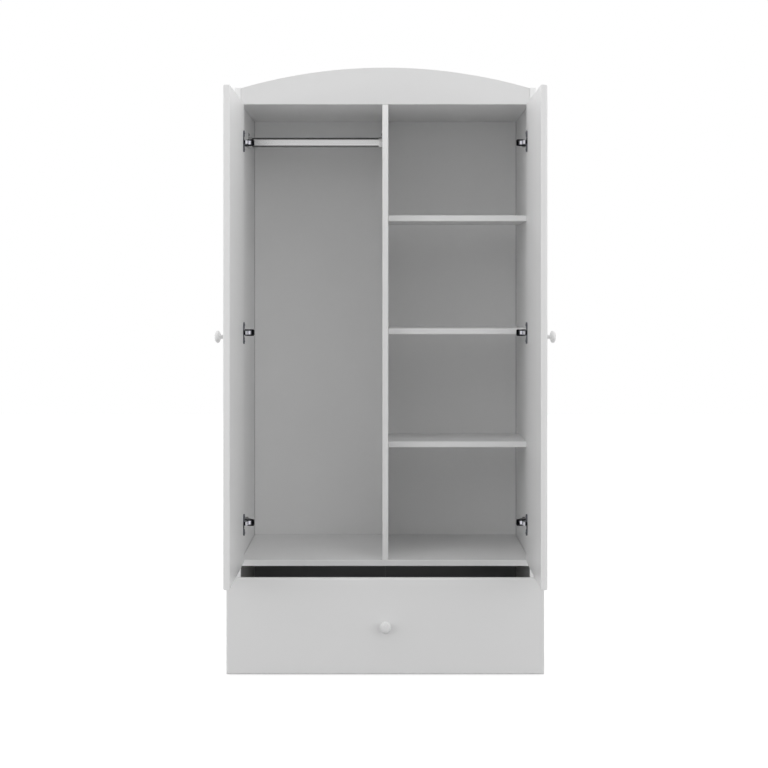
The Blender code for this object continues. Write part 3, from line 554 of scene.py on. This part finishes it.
def bright_nickel(name, painted_shade_from):
    """Pressed sheet steel in polished nickel: pale and mirror-like, slightly waved by the press.

    Farther than painted_shade_from from the middle, where it goes into the cup, it is drawn black
    as painted shade.
    """
    made = coat(
        name,
        ("#E4E4EA", "#DADAE1"),
        patch=0.006,
        sheen=(0.26, 0.36),
        sheen_patch=0.003,
        grain=0.005,
        rise=0.00004,
        metallic=1.0,
    )
    tree = made.node_tree
    axes = add(tree, "ShaderNodeSeparateXYZ", links={0: tree.nodes["place"].outputs["Object"]})
    away = add(tree, "ShaderNodeMath", {"operation": "ABSOLUTE"}, {0: axes.outputs["X"]})
    # Where the link goes into the cup it is drawn black, as painted shade
    end = add(
        tree, "ShaderNodeMath", {"operation": "GREATER_THAN", 1: painted_shade_from}, {0: away.outputs[0]}
    )
    overlay(tree, end.outputs[0], "#232327")
    return made


def grey_nickel(name):
    """Die-cast zinc under a dull grey nickel: a dark steel grey with a soft, grainy sheen."""
    return coat(
        name,
        ("#6E6F75", "#63646A"),
        patch=0.006,
        sheen=(0.34, 0.46),
        sheen_patch=0.003,
        grain=0.0009,
        rise=0.00003,
        metallic=1.0,
    )


def black_nickel(name):
    """Pressed sheet steel in black nickel: nearly black, with clear highlights on its bends."""
    return coat(
        name,
        ("#232327", "#1B1B1F"),
        patch=0.008,
        sheen=(0.26, 0.38),
        sheen_patch=0.003,
        grain=0.005,
        rise=0.00004,
        metallic=1.0,
    )


def zinc_steel(name):
    """Zinc-plated steel, as on small screws and nails: bluish grey and mottled."""
    return coat(
        name,
        ("#A9ACB0", "#8D9094"),
        patch=0.002,
        sheen=(0.28, 0.42),
        sheen_patch=0.0015,
        grain=0.0008,
        rise=0.00002,
        metallic=1.0,
    )


def coated_runner(name):
    """Rolled steel with baked white epoxy powder: an even coat with a coarse orange peel."""
    return coat(
        name,
        ("#E2E2E1", "#DCDCDB"),
        patch=0.04,
        sheen=(0.36, 0.48),
        sheen_patch=0.01,
        grain=0.0025,
        rise=0.00008,
        ior=1.52,
    )


def moulded_nylon(name):
    """Natural nylon, moulded: a waxy off-white with a soft sheen."""
    return coat(
        name,
        ("#DEDCD6", "#D6D4CD"),
        patch=0.006,
        sheen=(0.40, 0.52),
        sheen_patch=0.003,
        grain=0.002,
        rise=0.00002,
        ior=1.53,
    )


def extruded_strip(name):
    """White PVC, drawn through a die: even and slightly glossy, with faint lines along it."""
    made = coat(
        name,
        ("#E8E8E7", "#E3E3E2"),
        patch=0.05,
        sheen=(0.34, 0.44),
        sheen_patch=0.02,
        # A real die leaves lines half as wide; at 1.2 mm they still show close up
        grain=0.0012,
        rise=0.00002,
        ior=1.53,
    )
    tree = made.node_tree
    # Stretched a hundred times along the strip
    along = add(
        tree,
        "ShaderNodeMapping",
        {"Scale": (1.0, 1.0, 0.01)},
        {"Vector": tree.nodes["place"].outputs["Object"]},
    )
    tree.links.new(along.outputs["Vector"], tree.nodes["grain"].inputs["Vector"])
    return made


def give(finish, *nodes):
    """Each of these nodes of the model gets the finish."""
    for name in nodes:
        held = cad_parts[name].data.materials
        held.clear()
        held.append(finish)


def closed_mesh(name, cage, crease):
    """The cage as a mesh: faces outwards, and smooth but for edges sharper than crease degrees."""
    bmesh.ops.recalc_face_normals(cage, faces=cage.faces)
    mesh = bpy.data.meshes.new(name)
    cage.to_mesh(mesh)
    cage.free()
    mesh.shade_smooth()
    mesh.set_sharp_from_angle(angle=math.radians(crease))
    return mesh


def prism(cage, outline, near, far):
    """A closed upright prism between two heights. The face at the far one is given back."""
    ends = [[cage.verts.new((x, y, z)) for x, y in outline] for z in (near, far)]
    count = len(outline)
    for i in range(count):
        j = (i + 1) % count
        cage.faces.new((ends[0][i], ends[0][j], ends[1][j], ends[1][i]))
    cage.faces.new(ends[0])
    return cage.faces.new(ends[1])


def fastener_mesh(name, size, arms=RECESS_ARMS):
    """A domed head with a recess of so many arms, and the shank under it; a nail has none.

    The head's seat is at the origin and it faces +Z.
    """
    radius, rise, shank = size
    steps = SCREW_POINTS if arms else NAIL_POINTS
    depth = min(RECESS_DEPTH * radius, RECESS_LIMIT * (rise + shank))
    # Each ring's radius and height, and whether it lies in the recess's hub and within its arms
    rings = [
        (share * radius, height * rise, share < RECESS_HUB, share < RECESS_REACH)
        for share, height in HEAD_DOME
    ]
    rings += [(SHANK * radius, 0.0, False, False), (SHANK * radius, -shank, False, False)]
    cage = bmesh.new()
    loops = []
    for reach, height, in_hub, in_arms in rings:
        loop = []
        for i in range(steps):
            angle = 2 * math.pi * i / steps
            drop = 0.0
            if arms:
                # Steps from here to the middle of the nearest arm, which reaches one to each side
                off_arm = abs((i * arms / steps + 0.5) % 1 - 0.5) * steps / arms
                if in_hub or (in_arms and round(off_arm) <= 1):
                    drop = depth
            x = reach * math.cos(angle)
            y = reach * math.sin(angle)
            loop.append(cage.verts.new((x, y, height - drop)))
        loops.append(loop)
    for inner, outer in zip(loops, loops[1:]):
        for i in range(steps):
            j = (i + 1) % steps
            cage.faces.new((inner[i], outer[i], outer[j], inner[j]))
    cage.faces.new(loops[0])
    cage.faces.new(loops[-1][::-1])
    return closed_mesh(name, cage, HEAD_CREASE)


def seated(place, direction, turn=0.0):
    """The matrix that sets a head at place, facing along direction, turned about its own line."""
    aimed = Vector(direction).to_track_quat("Z", "Y").to_matrix().to_4x4()
    turned = aimed @ Matrix.Rotation(turn, 4, "Z")
    return Matrix.Translation(place) @ turned


def fit(name, mesh, finish, body, seat=None):
    """Adds one small fitting to the body that carries it.

    seat is the matrix that sets it in place; a mesh that was made in place needs none.
    """
    made = bpy.data.objects.new(name, mesh)
    bpy.context.scene.collection.objects.link(made)
    if not mesh.materials:
        mesh.materials.append(finish)
    if seat is not None:
        made.matrix_world = seat
    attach(made, body)


def fit_hinge_screws(cup_finish, arm_finish, plate_finish):
    """Two screws in each cup's ears, two in each plate's wings, and one in each arm."""
    ear = fastener_mesh("ear_screw", EAR_SCREW)
    wing = fastener_mesh("wing_screw", PLATE_SCREW)
    clamp = fastener_mesh("arm_screw", ARM_SCREW)
    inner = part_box("right_side_panel")[0].x
    for side, sign in SIDES:
        inward = (-sign, 0, 0)
        for i, level in enumerate(LEVELS):
            label = f"{side}_{level}"
            turn = HINGE_SCREW_TURN + i * HINGE_SCREW_STEP
            cup_low, cup_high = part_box(f"{label}_hinge_cup")
            plate_low, plate_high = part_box(f"{label}_hinge_plate")
            arm_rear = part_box(f"{label}_hinge_arm")[1].y
            height = (cup_low.z + cup_high.z) / 2
            ear_x = cup_high.x if sign < 0 else cup_low.x
            ear_y = cup_low.y + CUP_HALF - EAR_HOLE_OFFSET
            wall_x = plate_low.x if sign < 0 else plate_high.x
            wing_x = wall_x - sign * WING_THICKNESS
            wing_y = plate_low.y + WING_HOLE_SETBACK
            for end, word in ((-1, "bottom"), (1, "top")):
                seat = seated((ear_x, ear_y, height + end * EAR_HOLE_RISE), inward, turn + end)
                fit(f"{label}_ear_screw_{word}", ear, cup_finish, f"{side}_door", seat)
                seat = seated((wing_x, wing_y, height + end * WING_HOLE_RISE), inward, turn - end)
                fit(f"{label}_plate_screw_{word}", wing, plate_finish, "carcass", seat)
            arm_place = (sign * (inner - ARM_FLAT_HEIGHT), arm_rear - ARM_SCREW_INSET, height)
            seat = seated(arm_place, inward, turn)
            fit(f"{label}_arm_screw", clamp, arm_finish, "carcass", seat)


def fit_arm_lips(finish):
    """The lips that stiffen each arm's two cheeks, turned outwards along their front edges."""
    front_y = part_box("left_side_panel")[0].y
    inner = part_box("right_side_panel")[0].x
    for side, sign in SIDES:
        outline = [(sign * (inner - off_wall), front_y + behind) for off_wall, behind in LIP_SHAPE]
        for level in LEVELS:
            low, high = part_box(f"{side}_{level}_hinge_arm")
            height = (low.z + high.z) / 2
            half = (high.z - low.z) / 2
            cage = bmesh.new()
            for end in (-1, 1):
                root = height + end * (half - LIP_ROOT)
                rim = height + end * (half + LIP_RISE)
                rim_face = prism(cage, outline, root, rim)
                bmesh.ops.bevel(
                    cage,
                    geom=list(rim_face.edges),
                    offset=LIP_ROUND,
                    segments=3,
                    affect="EDGES",
                    profile=0.5,
                )
            name = f"{side}_{level}_arm_lips"
            fit(name, closed_mesh(name, cage, LIP_CREASE), finish, "carcass")


def fit_rail_screws(finish):
    """One screw through the tab of each rail socket."""
    mesh = fastener_mesh("socket_screw", SOCKET_SCREW)
    for side, sign in SIDES:
        low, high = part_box(f"rail_socket_{side}")
        wall_x = low.x if sign < 0 else high.x
        place = (
            wall_x - sign * SOCKET_PLATE,
            (low.y + high.y) / 2,
            high.z - SOCKET_SCREW_INSET,
        )
        seat = seated(place, (-sign, 0, 0), SOCKET_SCREW_TURN)
        fit(f"{side}_socket_screw", mesh, finish, "carcass", seat)


def fit_runner_screws(finish):
    """Flush screws: three through each track into its side panel, three into each drawer side."""
    mesh = fastener_mesh("runner_screw", RUNNER_SCREW)
    face_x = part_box("right_side_panel")[0].x - TRACK_FACE
    for side, sign in SIDES:
        low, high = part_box(f"{side}_cabinet_runner")
        for i, share in enumerate(TRACK_SCREW_SHARES):
            place = (sign * face_x, low.y + share * (high.y - low.y), TRACK_SCREW_HEIGHT)
            seat = seated(place, (-sign, 0, 0), i * RUNNER_SCREW_STEP)
            fit(f"{side}_track_screw_{i + 1}", mesh, finish, "carcass", seat)
        low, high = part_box(f"{side}_drawer_runner")
        foot_x = (low.x if sign > 0 else high.x) + sign * FOOT_SCREW_INSET
        for i, share in enumerate(FOOT_SCREW_SHARES):
            place = (foot_x, low.y + share * (high.y - low.y), low.z)
            seat = seated(place, (0, 0, -1), i * RUNNER_SCREW_STEP)
            fit(f"{side}_drawer_runner_screw_{i + 1}", mesh, finish, "drawer", seat)


def fit_back_nails(finish):
    """The nails that hold each back sheet to the boards in front of it, as one joined piece."""
    nail = fastener_mesh("nail_head", NAIL, 0)
    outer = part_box("right_side_panel")[1].x - NAIL_INSET
    boards = []
    for name in ("bottom_panel", "lower_rear_rail"):
        low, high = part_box(name)
        boards.append((low.z + high.z) / 2)
    for side, sign in SIDES:
        low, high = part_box(f"back_panel_{side}")
        first = low.z + NAIL_INSET
        last = high.z - NAIL_INSET
        # Up the side panel, then across into the ceiling, the bottom panel and the rear rail
        up = round((last - first) / NAIL_SPACING)
        places = [(sign * outer, first + i * (last - first) / up) for i in range(up + 1)]
        across = round(outer / NAIL_SPACING)
        for z in (last, *boards):
            places += [(sign * i * outer / across, z) for i in range(1, across)]
        cage = bmesh.new()
        for x, z in places:
            start = len(cage.verts)
            cage.from_mesh(nail)
            cage.verts.ensure_lookup_table()
            seat = seated((x, high.y, z), (0, 1, 0))
            bmesh.ops.transform(cage, matrix=seat, verts=cage.verts[start:])
        name = f"{side}_back_nails"
        fit(name, closed_mesh(name, cage, HEAD_CREASE), finish, "carcass")


def fit_joining_strip(finish):
    """The strip over the seam of the back sheets: rounded edges and a shallow groove down it."""
    low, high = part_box("back_panel_left")
    outline = [(STRIP_HALF_WIDTH * x, high.y + STRIP_THICKNESS * y) for x, y in STRIP_SIDE]
    outline += [(-x, y) for x, y in reversed(outline)]
    cage = bmesh.new()
    prism(cage, outline, low.z, high.z)
    name = "back_joining_strip"
    fit(name, closed_mesh(name, cage, STRIP_CREASE), finish, "carcass")


def white_room():
    """The world: even light on the object, and plain white where the camera or a mirror sees it."""
    world = bpy.data.worlds.new("white room")
    bpy.context.scene.world = world
    world.use_nodes = True
    tree = world.node_tree
    back = tree.nodes["Background"]
    back.inputs["Color"].default_value = (1, 1, 1, 1)
    ray = add(tree, "ShaderNodeLightPath")
    first = add(
        tree,
        "ShaderNodeMath",
        {"operation": "MAXIMUM"},
        {0: ray.outputs["Is Camera Ray"], 1: ray.outputs["Is Glossy Ray"]},
    )
    seen = add(
        tree,
        "ShaderNodeMath",
        {"operation": "MAXIMUM"},
        {0: first.outputs[0], 1: ray.outputs["Is Transmission Ray"]},
    )
    # Here the coordinate is the way in which the ray goes
    way = add(tree, "ShaderNodeTexCoord").outputs["Generated"]
    axes = add(tree, "ShaderNodeSeparateXYZ", links={0: way})
    above = add(tree, "ShaderNodeMath", {"operation": "MAXIMUM", 1: 0.0}, {0: axes.outputs["Z"]})
    aside = add(tree, "ShaderNodeMath", {"operation": "ABSOLUTE"}, {0: axes.outputs["X"]})
    sky = add(
        tree,
        "ShaderNodeMath",
        {"operation": "MULTIPLY_ADD", 1: SKY_LIGHT, 2: EVEN_LIGHT},
        {0: above.outputs[0]},
    )
    ahead = add(tree, "ShaderNodeMath", {"operation": "MINIMUM", 1: 0.0}, {0: axes.outputs["Y"]})
    front = add(
        tree,
        "ShaderNodeMath",
        {"operation": "MULTIPLY_ADD", 1: -FRONT_LIGHT},
        {0: ahead.outputs[0], 2: sky.outputs[0]},
    )
    level = add(tree, "ShaderNodeMath", {"operation": "SUBTRACT", 0: 1.0}, {1: above.outputs[0]})
    low_aside = add(
        tree,
        "ShaderNodeMath",
        {"operation": "MULTIPLY"},
        {0: aside.outputs[0], 1: level.outputs[0]},
    )
    room = add(
        tree,
        "ShaderNodeMath",
        {"operation": "MULTIPLY_ADD", 1: SIDE_LIGHT},
        {0: low_aside.outputs[0], 2: front.outputs[0]},
    )
    strength = add(
        tree,
        "ShaderNodeMapRange",
        {"To Max": 1.0},
        {"Value": seen.outputs[0], "To Min": room.outputs[0]},
    )
    tree.links.new(strength.outputs["Result"], back.inputs["Strength"])


def pale_floor():
    """A plain floor that reads as white and keeps a soft shadow under the wardrobe."""
    mesh = bpy.data.meshes.new("floor")
    corners = [(x * FLOOR_HALF, y * FLOOR_HALF, 0) for x, y in ((-1, -1), (1, -1), (1, 1), (-1, 1))]
    mesh.from_pydata(corners, [], [(0, 1, 2, 3)])
    floor = bpy.data.objects.new("floor", mesh)
    floor.location.z = -FLOOR_DROP
    bpy.context.scene.collection.objects.link(floor)
    made = bpy.data.materials.new("pale floor")
    made.use_nodes = True
    tree = made.node_tree
    shader = tree.nodes["Principled BSDF"]
    shader.inputs["Base Color"].default_value = linear("#9C9C9C")
    shader.inputs["Roughness"].default_value = 0.9
    shader.inputs["Specular IOR Level"].default_value = 0.0
    shader.inputs["Emission Color"].default_value = (1, 1, 1, 1)
    ray = add(tree, "ShaderNodeLightPath")
    seen = add(
        tree,
        "ShaderNodeMath",
        {"operation": "MAXIMUM"},
        {0: ray.outputs["Is Camera Ray"], 1: ray.outputs["Is Glossy Ray"]},
    )
    glow = add(
        tree, "ShaderNodeMath", {"operation": "MULTIPLY", 1: FLOOR_GLOW}, {0: seen.outputs[0]}
    )
    tree.links.new(glow.outputs[0], shader.inputs["Emission Strength"])
    mesh.materials.append(made)


def softbox():
    """One large soft lamp above the wardrobe."""
    lamp = bpy.data.lights.new("softbox", "AREA")
    lamp.shape = "RECTANGLE"
    lamp.size, lamp.size_y = SOFTBOX_SIZE
    lamp.energy = SOFTBOX_WATTS
    made = bpy.data.objects.new("softbox", lamp)
    made.location = SOFTBOX_PLACE
    aim = Vector(SOFTBOX_AIM) - Vector(SOFTBOX_PLACE)
    made.rotation_euler = aim.to_track_quat("-Z", "Y").to_euler()
    bpy.context.scene.collection.objects.link(made)


def camera():
    """The photograph's lens and place, looking level at the wardrobe's front."""
    lens = bpy.data.cameras.new("camera")
    lens.lens = LENS
    lens.sensor_width = SENSOR_WIDTH
    lens.shift_x, lens.shift_y = CAMERA_SHIFT
    lens.clip_end = SIGHT
    made = bpy.data.objects.new("camera", lens)
    made.location = CAMERA_PLACE
    made.rotation_euler = (math.pi / 2, 0, 0)
    bpy.context.scene.collection.objects.link(made)
    bpy.context.scene.camera = made


def dress():
    """Every board and fitting of the model gets its finish, and the small fittings are added."""
    band_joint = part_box("left_side_panel")[0].y + BAND
    shelf_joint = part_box("upper_shelf")[0].y + BAND
    painted_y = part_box("back_panel_left")[0].y + PAINT
    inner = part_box("right_side_panel")[0].x
    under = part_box("bottom_panel")[0].z
    # The side panels are drawn grey towards the drawer's bay, as painted shade
    sides = melamine_board("melamine_side", band_joint, painted_shade_bay=(under, inner))
    give(sides, "left_side_panel", "right_side_panel")
    plain = melamine_board("melamine_board", band_joint)
    give(plain, "top_panel", "centre_divider", "lower_rear_rail")
    # The floor board's band is hardly lighter than its faces, and where it meets the side panels it
    # has a line of painted shade
    give(melamine_board("melamine_floor_board", band_joint, "#F0F0F0", inner), "bottom_panel")
    shelves = melamine_board("melamine_shelf", shelf_joint)
    give(shelves, "upper_shelf", "middle_shelf", "lower_shelf")
    boxes = melamine_board("melamine_drawer_box")
    give(boxes, "drawer_left_side", "drawer_right_side", "drawer_back")
    # The drawer front and the crown have the doors' foil, drawn darker as painted shade
    give(foiled_front("foiled_door", ("#F0F0F0", "#EEEEEE")), "left_door", "right_door")
    give(foiled_front("foiled_front", ("#EDEDED", "#EBEBEB")), "drawer_front")
    give(foiled_front("foiled_crown", ("#E5E5E5", "#E3E3E3")), "arched_crown")
    sheets = back_hardboard("hardboard_back", painted_y, inner, under)
    give(sheets, "back_panel_left", "back_panel_right")
    give(painted_hardboard("hardboard_drawer_bottom"), "drawer_bottom")
    give(lacquered_knob("lacquered_door_knob", "X"), "left_door_knob", "right_door_knob")
    give(lacquered_knob("lacquered_drawer_knob", "Y"), "drawer_knob")
    low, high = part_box("hanging_rail")
    give(chromed_tube("chromed_rail", (low.z + high.z) / 2), "hanging_rail")
    give(satin_chrome("satin_chrome"), "rail_socket_left", "rail_socket_right")
    cups = grey_nickel("grey_nickel")
    arms = black_nickel("black_nickel")
    links = bright_nickel("bright_nickel", inner - LINK_SHADED_END)
    zinc = zinc_steel("zinc_steel")
    for side, _ in SIDES:
        runner = coated_runner(f"coated_{side}_runner")
        give(runner, f"{side}_cabinet_runner", f"{side}_drawer_runner")
        roller = moulded_nylon(f"nylon_{side}_roller")
        give(roller, f"{side}_front_roller", f"{side}_rear_roller")
        for level in LEVELS:
            hinge = f"{side}_{level}_hinge"
            give(cups, f"{hinge}_cup")
            give(arms, f"{hinge}_arm")
            give(zinc, f"{hinge}_plate")
            give(links, f"{hinge}_link")
    fit_hinge_screws(cups, arms, zinc)
    fit_arm_lips(arms)
    fit_rail_screws(cups)
    fit_runner_screws(zinc)
    fit_back_nails(zinc)
    fit_joining_strip(extruded_strip("extruded_strip"))


bpy.context.scene.view_settings.view_transform = "Standard"
dress()
white_room()
pale_floor()
softbox()
camera()
